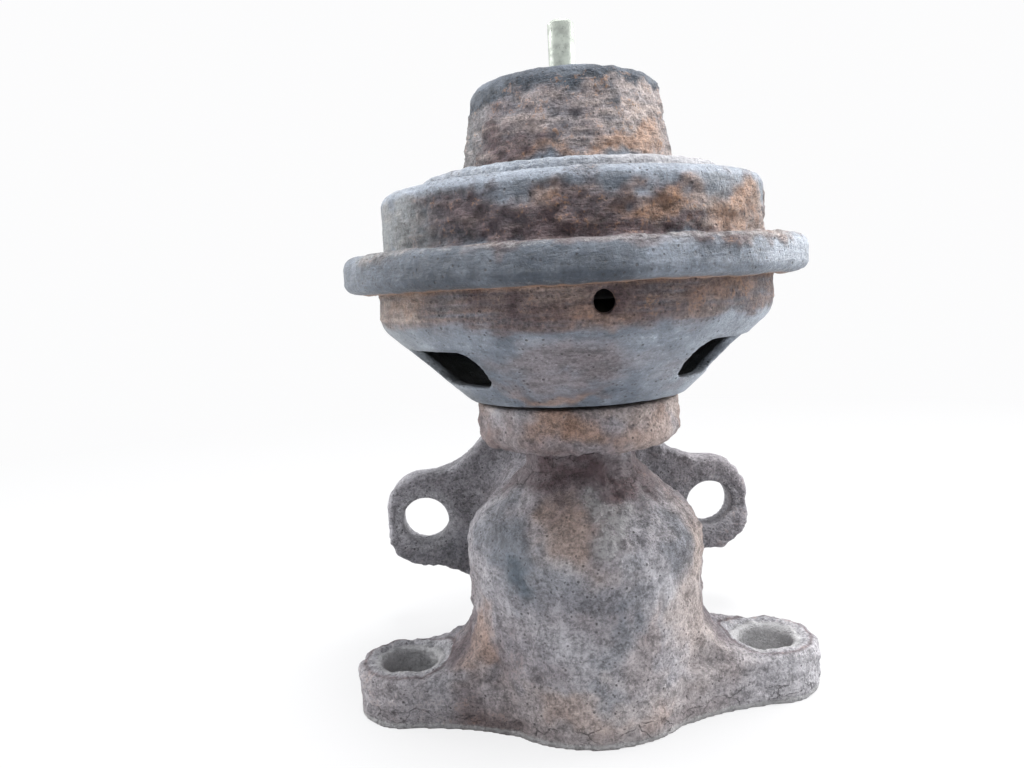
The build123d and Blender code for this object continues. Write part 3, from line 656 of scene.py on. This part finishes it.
def upper_wear(p, n):
    """Spun steel under paint: blue-grey where it holds, rusted on tower and wall, crusted at the crimp. Its
    colours also carry painted highlight on the upward faces and sides, and painted shade at the front left
    and on the inside.
    """
    r = out_from_axis(p)
    radial = (n[:, 0] * p[:, 0] + n[:, 1] * p[:, 1]) / np.maximum(r, 0.1)
    outer = ease(radial + n[:, 2], -0.25, 0.15)
    lip = ease(p[:, 2], 69.0, 68.4)
    skin = np.maximum(outer, lip)
    big = fractal(p, 8.0, 61) - 0.5
    blotch = fractal(p, 3.0, 65) - 0.5
    medium = fractal(p, 1.5, 71, octaves=3) - 0.5
    drawn = streaks(p, 83) - 0.5
    dents = pits(p, 2.1, 0.6, 0.30, 91)
    q = warped(p, 301)

    tower = band(q[:, 2], 84.6, 96.0, 1.0) * ease(r, 18.5, 17.5)
    wall = band(q[:, 2], 73.4, 80.2, 1.0) * ease(r, 25.5, 27.0)
    ring = ease(p[:, 2], 73.3, 72.9) * ease(r, 29.8, 30.6)
    step = band(p[:, 2], 82.2, 84.1, 0.4) * ease(r, 24.5, 23.3)
    shoulder = band(p[:, 2], 80.6, 82.2, 0.5) * ease(r, 22.5, 24.0)
    front_wall = sector(q, 20, 78, 24)
    back_wall = sector(q, -165, 48, 25)
    left_wall = sector(q, -76, 26, 16)
    tint = painted(
        np.full((len(p), 3), PAINT),
        # Painted shade: the ring darker at the front left (sector at -16 degrees), where less light reaches
        # it.
        (PAINT_DARK_AND_SHADE, 0.34 + 1.0 * big + 0.6 * blotch + 0.85 * ring * sector(q, -16, 24, 12)),
        # Painted highlight: the ring paler at the front right (sector at 30 degrees).
        (PAINT_PALE_AND_HIGHLIGHT, 0.02 - 0.9 * big + 0.3 * medium + 0.20 * ring * sector(q, 30, 22, 14)),
        (PLUM, wall * (0.55 * front_wall + 0.4 * back_wall) + 1.2 * medium * wall),
        (BROWN, wall * (0.45 + 1.8 * blotch + 1.4 * drawn) * np.maximum(sector(q, 30, 62, 30), back_wall)),
        (TAN, wall * (0.55 * sector(q, 56, 30, 22) + 1.2 * blotch + 1.0 * drawn)),
        (ORANGE, patches(q, (0.60, 18, 77.8, 12, 1.8), (0.55, 43, 76.8, 14, 2.8), (0.40, -10, 78.2, 6, 1.4))),
        (ORANGE, 0.45 * patch(q, 150, 77, 36, 4)),
        (PLUM, 0.45 * patch(q, 0, 77.4, 18, 2.2)),
        # Painted shade: the plum patch at -26 degrees darkens the wall's front left, where less light reaches
        # it.
        (PLUM, patches(q, (0.90, 0, 75.0, 38, 2.0), (0.6, -26, 77.5, 13, 3.0), (0.5, 30, 74.8, 18, 1.4))),
        # Painted highlight: the wall paler at its left and right sides, where grazing light brightens it.
        (SIDE_HIGHLIGHT, 0.55 * wall * left_wall + 0.40 * wall * sector(q, 95, 16, 14)),
        (GREY, tower * (0.62 + 0.9 * blotch)),
        (GREY_PALE, tower * (0.42 + 1.3 * blotch + 1.4 * medium)),
        (BROWN, tower * (0.20 + 1.2 * blotch + 1.4 * big)),
        # Painted shade: the tower darker at the front left (sector at -42 degrees and the low patch at -46),
        # where less light reaches it.
        (
            PLUM,
            tower * (0.05 + 1.8 * medium + 0.30 * sector(q, -42, 30, 16))
            + 0.80 * patch(q, -46, 86.5, 28, 3.4),
        ),
        (TAN, tower * (0.10 + 1.3 * drawn + 0.40 * sector(q, 40, 26, 20))),
        # Painted highlight: the tower paler at its left and right sides, where grazing light brightens it.
        (SIDE_HIGHLIGHT, 0.35 * tower * sector(q, -84, 24, 16) + 0.45 * tower * sector(q, 92, 20, 16)),
        (ORANGE, patches(q, (0.62, 30, 87.0, 30, 2.2), (0.45, -8, 86.0, 34, 1.6), (0.35, 170, 88, 40, 3))),
        (PAINT_DARK_AND_SHADE, 1.00 * band(q[:, 2], 94.0, 97.8, 0.9) * ease(r, 11.5, 13.0)),
        # Painted highlight: the shoulder and the step face up and are made paler where light from above falls
        # on them.
        (PAINT_PALE_AND_HIGHLIGHT, 0.55 * shoulder + 0.75 * step),
        (TAN, 0.35 * step * sector(q, 40, 36, 24)),
        (BROWN, 0.45 * ring * patch(q, 2, 72.6, 18, 1.4)),
        # Painted highlight: the ring paler at its left and right sides, where grazing light brightens it.
        (PAINT_PALE_AND_HIGHLIGHT, 0.38 * ring * (sector(q, 84, 40, 22) + 0.6 * sector(q, -92, 28, 18))),
        (ORANGE, 0.75 * lip * ease(r, 33.2, 32.0)),
    )
    rusty = np.clip(wall * (front_wall + back_wall) + tower, 0, 1)
    rust = 0.20 + 0.72 * rusty + 0.6 * big
    # The pale crust on the shoulder, the step and the ring's top is partly painted highlight from light
    # above; the band under the lip is crust.
    pale = total(
        (0.26, shoulder * ease(p[:, 2], 80.8, 81.6)),
        (0.30, step),
        (0.34, band(p[:, 2], 72.3, 73.1, 0.3) * ease(r, 30.0, 31.0)),
        (0.26, band(p[:, 2], 67.2, 68.2, 0.3) * ease(r, 31.5, 32.5)),
        (0.12, rusty),
    )
    # Painted shade: the inner faces of the shell darkened, where little light reaches.
    soot_and_shade = 0.45 * (1 - skin)
    height = 0.25 * big + (0.38 + 0.75 * rusty) * medium + 0.30 * rusty * drawn
    height += -0.30 * dents * np.clip(rusty + 0.25, 0, 1)
    shift = n * (height * skin)[:, None]
    shift[:, 2] += skewed(p, n, skin)
    cracked = 0.15 * rusty * skin
    masks = {"tint": tint, "rust": rust * skin, "pale": pale * skin, "cracked": cracked, "soot_and_shade": soot_and_shade}
    return shift * ease(r, 2.9, 3.6)[:, None], masks


def lower_wear(p, n):
    """The lower housing: a rust-streaked band under the crimp, and dull blue-grey paint on the cone, with
    painted highlight on the cone's sides and painted shade on the inside.
    """
    r = out_from_axis(p)
    radial = (n[:, 0] * p[:, 0] + n[:, 1] * p[:, 1]) / np.maximum(r, 0.1)
    skin = ease(radial - n[:, 2], -0.25, 0.15) * ease(p[:, 2], 68.7, 68.2) * ease(r, 16.2, 16.9)
    big = fractal(p, 8.0, 131) - 0.5
    blotch = fractal(p, 3.0, 135) - 0.5
    medium = fractal(p, 1.5, 141, octaves=3) - 0.5
    drawn = streaks(p, 151, long=7.0, short=0.5) - 0.5
    dents = pits(p, 2.6, 0.55, 0.25, 161)
    q = warped(p, 401)
    wall = ease(0.6 * p[:, 2] + 0.4 * q[:, 2], 61.2, 63.4)
    cone = 1 - wall
    hole = np.hypot(r * np.radians(around(p) - DRAIN_ANGLE), p[:, 2] - DRAIN_HEIGHT)
    tint = painted(
        np.full((len(p), 3), PAINT),
        (PAINT_DARK_AND_SHADE, 0.16 + 1.4 * big),
        (PAINT_PALE_AND_HIGHLIGHT, 0.10 - 1.2 * big + 1.2 * blotch),
        (GREY, 0.55 * patch(q, -6, 57.5, 40, 5)),
        (BROWN, patches(q, (0.36, -12, 57.0, 30, 3.6), (0.40, -16, 52.6, 34, 2.0), (0.35, 34, 54, 16, 3))),
        (BROWN, 0.45 * patch(q, 120, 57, 42, 5)),
        # Painted highlight: the cone paler at its left and right sides, where grazing light brightens it.
        (SIDE_HIGHLIGHT, 0.30 * cone * sector(q, -84, 24, 16)),
        (PAINT_PALE_AND_HIGHLIGHT, 0.75 * cone * sector(q, 70, 34, 22)),
        (BROWN, wall * (0.80 + 1.4 * drawn)),
        (PLUM, wall * (0.20 + 1.5 * drawn + 1.0 * medium) + 0.4 * patch(q, -28, 66.0, 20, 2.0)),
        (TAN, wall * (0.05 + 1.4 * drawn + 1.0 * blotch + 0.55 * sector(q, -72, 24, 16))),
        (ORANGE, patches(q, (0.28, 2, 63.8, 14, 2.0), (0.30, 36, 65.2, 18, 2.0), (0.25, -58, 64.6, 14, 1.8))),
        (ORANGE, 0.35 * patch(q, -16, 51.8, 22, 1.4) + 0.50 * ease(p[:, 2], 66.6, 67.4)),
        (PLUM, 0.8 * ease(hole, 2.2, 1.5)),
    )
    rust = 0.16 + 0.66 * wall + 0.5 * big + 0.3 * patch(q, -12, 57, 30, 4)
    pale = total(
        (0.18, patch(q, -14, 60.0, 30, 3.2)),
        (0.10, patch(q, 20, 58.0, 20, 3.0)),
        (0.20, sector(p, -66, 26, 16) * wall),
        (0.06, wall),
    )
    height = 0.12 * big + (0.14 + 0.30 * wall) * medium + 0.30 * wall * drawn - 0.12 * dents
    # Painted shade: the inner faces of the shell darkened, where little light reaches.
    soot_and_shade = 0.35 * (1 - skin)
    cracked = 0.1 * wall * skin
    masks = {"tint": tint, "rust": rust * skin, "pale": pale * skin, "cracked": cracked, "soot_and_shade": soot_and_shade}
    return n * (height * skin)[:, None], masks


RIBS = 48  # round the whole convolution


def rubber_wear(p, n):
    """Moulded rubber: barely uneven, with the faint radial ribs that pleating leaves on the convolution."""
    r = out_from_axis(p)
    fold = band(r, 21.6, 27.0, 0.8)
    ribs = np.sin(np.radians(around(p)) * RIBS)
    height = 0.05 * fold * ribs + 0.05 * (fractal(p, 3.0, 201) - 0.5)
    return n * height[:, None], {}


# The mesh sizes of the remade pieces, in millimetres.
CASTING_MESH, SHEET_MESH, RUBBER_MESH = 0.48, 0.42, 0.40
worn_piece("body_casting", HOUSING, "cast_iron", CASTING_MESH, casting_wear)
worn_piece("upper_housing", HOUSING, "housing_paint", SHEET_MESH, upper_wear)
worn_piece("lower_housing", HOUSING, "housing_paint", SHEET_MESH, lower_wear)
rubber = worn_piece("diaphragm", HOUSING, "diaphragm_rubber", RUBBER_MESH, rubber_wear)

# Heights at rest of the spring's two ends, and how far the stem lifts.
PLATE_TOP, SPRING_TOP, LIFT = 67.3, 95.5, 5.0

# The rubber's rim stays in the crimp while its centre goes up with the plates. The rubber is parted at the
# middle of the convolution's crest, and the centre bends from there down to its flat between the plates.
CREST_RADIUS, CREST_MIDDLE, RUBBER_TOP = 24.35, 73.6, 66.1
centre = centre_parted(rubber, "diaphragm", "diaphragm_rubber", CREST_RADIUS)
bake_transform(centre, HOUSING, STEM, (0, 0, CREST_MIDDLE * MM), (0, 0, RUBBER_TOP * MM))


def coil():
    """The return spring: round wire, a closed turn at each end, and both ends ground flat."""
    # The wire's radius, the coil's radius, the turns, and the rise of the closed turn at each end.
    wire, radius, turns, closed = 1.0, 10.85, 6.0, 2.15
    start, end = PLATE_TOP + wire / 2, SPRING_TOP - wire / 2
    lead = (end - start - 2 * closed) / (turns - 2)
    steps, sides = 56, 14
    count = int(turns * steps) + 1
    turn = np.linspace(0, turns, count)
    rise = closed * np.minimum(turn, 1) + lead * np.clip(turn - 1, 0, turns - 2)
    rise += closed * np.maximum(turn - turns + 1, 0)
    angle = 2 * np.pi * turn
    centre = np.stack([radius * np.cos(angle), radius * np.sin(angle), start + rise], 1)
    outward = np.stack([np.cos(angle), np.sin(angle), 0 * angle], 1)
    along = np.gradient(centre, axis=0)
    along /= np.linalg.norm(along, axis=1)[:, None]
    upward = np.cross(along, outward)
    points = []
    for k in range(sides):
        a = 2 * np.pi * k / sides
        points.append(centre + wire * (np.cos(a) * outward + np.sin(a) * upward))
    points = np.stack(points, 1).reshape(-1, 3)
    points[:, 2] = np.clip(points[:, 2], PLATE_TOP, SPRING_TOP)
    faces = []
    for i in range(count - 1):
        for k in range(sides):
            a, b = i * sides + k, i * sides + (k + 1) % sides
            faces.append((a, b, b + sides, a + sides))
    faces.append(tuple(range(sides)))
    faces.append(tuple(range((count - 1) * sides, count * sides))[::-1])
    mesh = bpy.data.meshes.new("coil")
    mesh.from_pydata((points * MM).tolist(), [], faces)
    mesh.polygons.foreach_set("use_smooth", [True] * len(mesh.polygons))
    mesh.materials.append(MATERIALS["spring_steel"])
    piece = bpy.data.objects.new("spring_coil", mesh)
    bpy.context.scene.collection.objects.link(piece)
    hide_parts("return_spring")
    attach(piece, HOUSING)
    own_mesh(piece)


coil()


# ---------------------------------------------------------------- camera, floor and light
BACKGROUND = (0.975, 0.975, 0.98)

# The world's light: its tint, the heights on the unit sphere that it is graded between, and its strengths.
SKY_TINT = (0.93, 0.96, 1.0)
SKY_HEIGHTS = (-0.4, 0.9)
SKY_BELOW, SKY_ABOVE = 0.36, 1.02

# The floor, in metres: its colour, half its side, and the distances over which the background's glow
# rises from the first share to the second.
FLOOR_COLOUR = (0.50, 0.50, 0.505)
FLOOR_HALF = 1.2
FLOOR_FADE = (0.06, 0.35)
FLOOR_GLOW = (0.82, 1.0)

# The lamps all face one point. Each has a name, a place and a size in metres, and a power in watts.
LIT_POINT = (0, 0, 55 * MM)
LAMPS = (
    ("top_light", (0.06, -0.14, 0.70), 0.22, 7.5),
    ("right_light", (0.55, 0.15, 0.25), 0.4, 4.8),
    ("left_light", (-0.55, 0.18, 0.2), 0.4, 2.8),
)


def place_camera():
    azimuth, pitch, roll = (math.radians(a) for a in (CAMERA_AZIMUTH, CAMERA_PITCH, CAMERA_ROLL))
    level = np.array((math.sin(azimuth), math.cos(azimuth), 0.0))
    right = np.array((math.cos(azimuth), -math.sin(azimuth), 0.0))
    upright = np.array((0.0, 0.0, 1.0))
    forward = math.cos(pitch) * level - math.sin(pitch) * upright
    above = math.sin(pitch) * level + math.cos(pitch) * upright
    rolled_right = math.cos(roll) * right + math.sin(roll) * above
    rolled_above = math.cos(roll) * above - math.sin(roll) * right
    turn = Matrix(np.stack([rolled_right, rolled_above, -forward], 1).tolist())
    data = bpy.data.cameras.new("camera")
    data.sensor_width, data.lens, data.sensor_fit = CAMERA_SENSOR, CAMERA_LENS, "HORIZONTAL"
    data.clip_start = CAMERA_CLIP
    camera = bpy.data.objects.new("camera", data)
    camera.matrix_world = Matrix.Translation(CAMERA_PLACE) @ turn.to_4x4()
    bpy.context.scene.collection.objects.link(camera)
    bpy.context.scene.camera = camera


def background_share(tree):
    """1 for rays that should see the pale background: from the camera, a gloss or a transmission."""
    path = tree.nodes.new("ShaderNodeLightPath")
    total = path.outputs["Is Camera Ray"]
    for name in ("Is Glossy Ray", "Is Transmission Ray"):
        node = tree.nodes.new("ShaderNodeMath")
        node.operation = "MAXIMUM"
        tree.links.new(total, node.inputs[0])
        tree.links.new(path.outputs[name], node.inputs[1])
        total = node.outputs[0]
    return total


def world_light(below, above):
    """Even light that is stronger from above than from below."""
    world = bpy.data.worlds.new("studio")
    world.use_nodes = True
    tree = world.node_tree
    lighting = tree.nodes["Background"]
    lighting.inputs["Color"].default_value = (*SKY_TINT, 1)
    height = tree.nodes.new("ShaderNodeSeparateXYZ")
    tree.links.new(tree.nodes.new("ShaderNodeTexCoord").outputs["Generated"], height.inputs[0])
    grade = map_range(tree, *SKY_HEIGHTS, below, above)
    tree.links.new(height.outputs["Z"], grade.inputs["Value"])
    tree.links.new(grade.outputs["Result"], lighting.inputs["Strength"])
    seen = tree.nodes.new("ShaderNodeBackground")
    seen.inputs["Color"].default_value = (*BACKGROUND, 1)
    seen.inputs["Strength"].default_value = 1.0
    mix = tree.nodes.new("ShaderNodeMixShader")
    tree.links.new(background_share(tree), mix.inputs[0])
    tree.links.new(lighting.outputs[0], mix.inputs[1])
    tree.links.new(seen.outputs[0], mix.inputs[2])
    tree.links.new(mix.outputs[0], tree.nodes["World Output"].inputs["Surface"])
    bpy.context.scene.world = world


def softbox(name, place, target, size, power):
    data = bpy.data.lights.new(name, "AREA")
    data.shape, data.size, data.energy = "DISK", size, power
    light = bpy.data.objects.new(name, data)
    light.location = place
    aim = np.array(target) - np.array(place)
    light.rotation_mode = "QUATERNION"
    light.rotation_quaternion = Vector(aim).to_track_quat("-Z", "Y")
    bpy.context.scene.collection.objects.link(light)


def floor():
    """A pale floor that fades into the background but keeps the object's soft shadow."""
    corners = [(x * FLOOR_HALF, y * FLOOR_HALF, 0) for x, y in ((-1, -1), (1, -1), (1, 1), (-1, 1))]
    mesh = bpy.data.meshes.new("floor")
    mesh.from_pydata(corners, [], [(0, 1, 2, 3)])
    plane = bpy.data.objects.new("floor", mesh)
    bpy.context.scene.collection.objects.link(plane)
    material = bpy.data.materials.new("floor")
    material.use_nodes = True
    tree = material.node_tree
    surface = tree.nodes["Principled BSDF"]
    surface.inputs["Base Color"].default_value = (*FLOOR_COLOUR, 1)
    surface.inputs["Roughness"].default_value = 0.9
    glow = tree.nodes.new("ShaderNodeEmission")
    glow.inputs["Color"].default_value = (*BACKGROUND, 1)
    mix = tree.nodes.new("ShaderNodeMixShader")
    away = tree.nodes.new("ShaderNodeVectorMath")
    away.operation = "LENGTH"
    tree.links.new(tree.nodes.new("ShaderNodeTexCoord").outputs["Object"], away.inputs[0])
    fade = map_range(tree, *FLOOR_FADE, *FLOOR_GLOW)
    tree.links.new(away.outputs["Value"], fade.inputs["Value"])
    share = tree.nodes.new("ShaderNodeMath")
    share.operation = "MULTIPLY"
    tree.links.new(background_share(tree), share.inputs[0])
    tree.links.new(fade.outputs["Result"], share.inputs[1])
    tree.links.new(share.outputs[0], mix.inputs[0])
    tree.links.new(surface.outputs[0], mix.inputs[1])
    tree.links.new(glow.outputs[0], mix.inputs[2])
    tree.links.new(mix.outputs[0], tree.nodes["Material Output"].inputs["Surface"])
    mesh.materials.append(material)


place_camera()
world_light(SKY_BELOW, SKY_ABOVE)
floor()
for lamp, place, size, power in LAMPS:
    softbox(lamp, place, LIT_POINT, size, power)
bpy.context.scene.view_settings.view_transform = "Standard"
